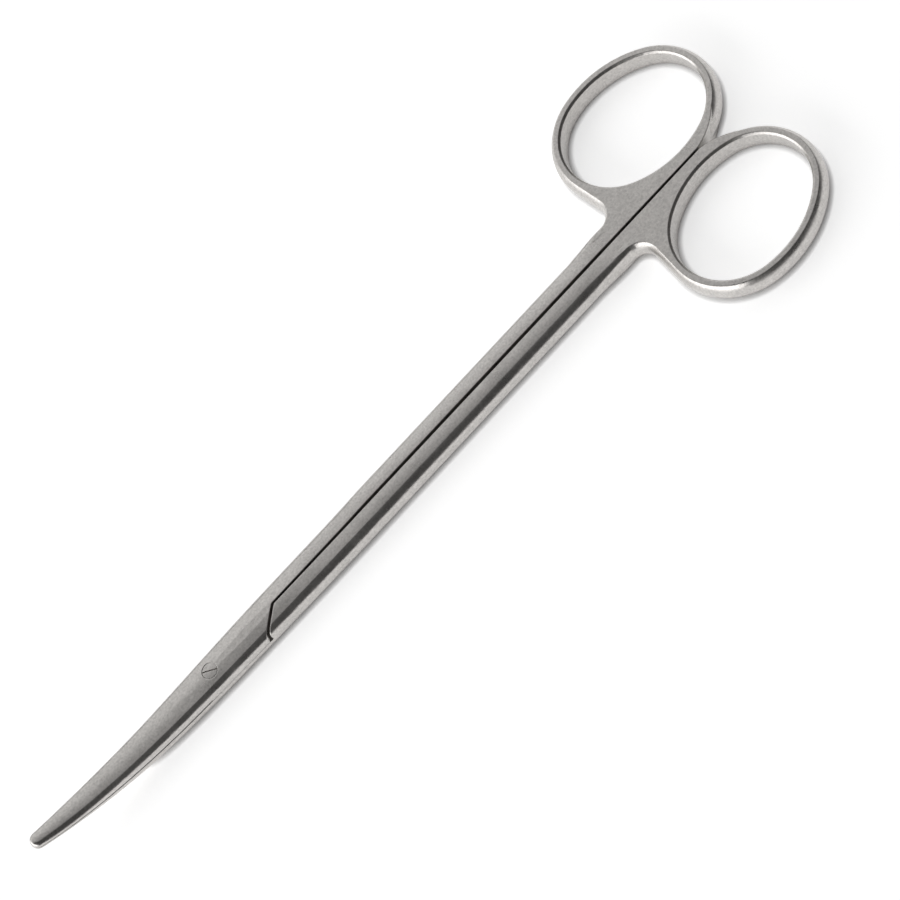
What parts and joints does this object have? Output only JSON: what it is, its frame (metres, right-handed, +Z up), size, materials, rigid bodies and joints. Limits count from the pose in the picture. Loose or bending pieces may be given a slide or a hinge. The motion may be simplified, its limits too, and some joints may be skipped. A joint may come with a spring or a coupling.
{
  "type": "curved dissecting scissors",
  "caption": "Long slender dissecting scissors with oval finger rings, a lap joint on a flush slotted screw and short blunt blades that curve upwards.",
  "frame": {"origin": "centre of the closed scissors' footprint on the table, at the height of the table", "axes": "+X from the finger rings to the blade tips, +Y towards the ring of the lower half, +Z up along the screw, the side to which the blades curve"},
  "size_m": [0.18, 0.057, 0.0084],
  "materials": {
    "lower_half_steel": "satin",
    "upper_half_steel": "satin",
    "screw_steel": "satin"
  },
  "bodies": {
    "lower": {"lower_half": "lower_half_steel", "pivot_screw": "screw_steel"},
    "upper": {"upper_half": "upper_half_steel"}
  },
  "joints": [
    {"name": "opening", "type": "hinge", "parent": "lower", "child": "upper", "pos_m": [0.04721, 0, 0.00219], "axis": [0, 0, 1], "range_deg": [0, 60]}
  ]
}
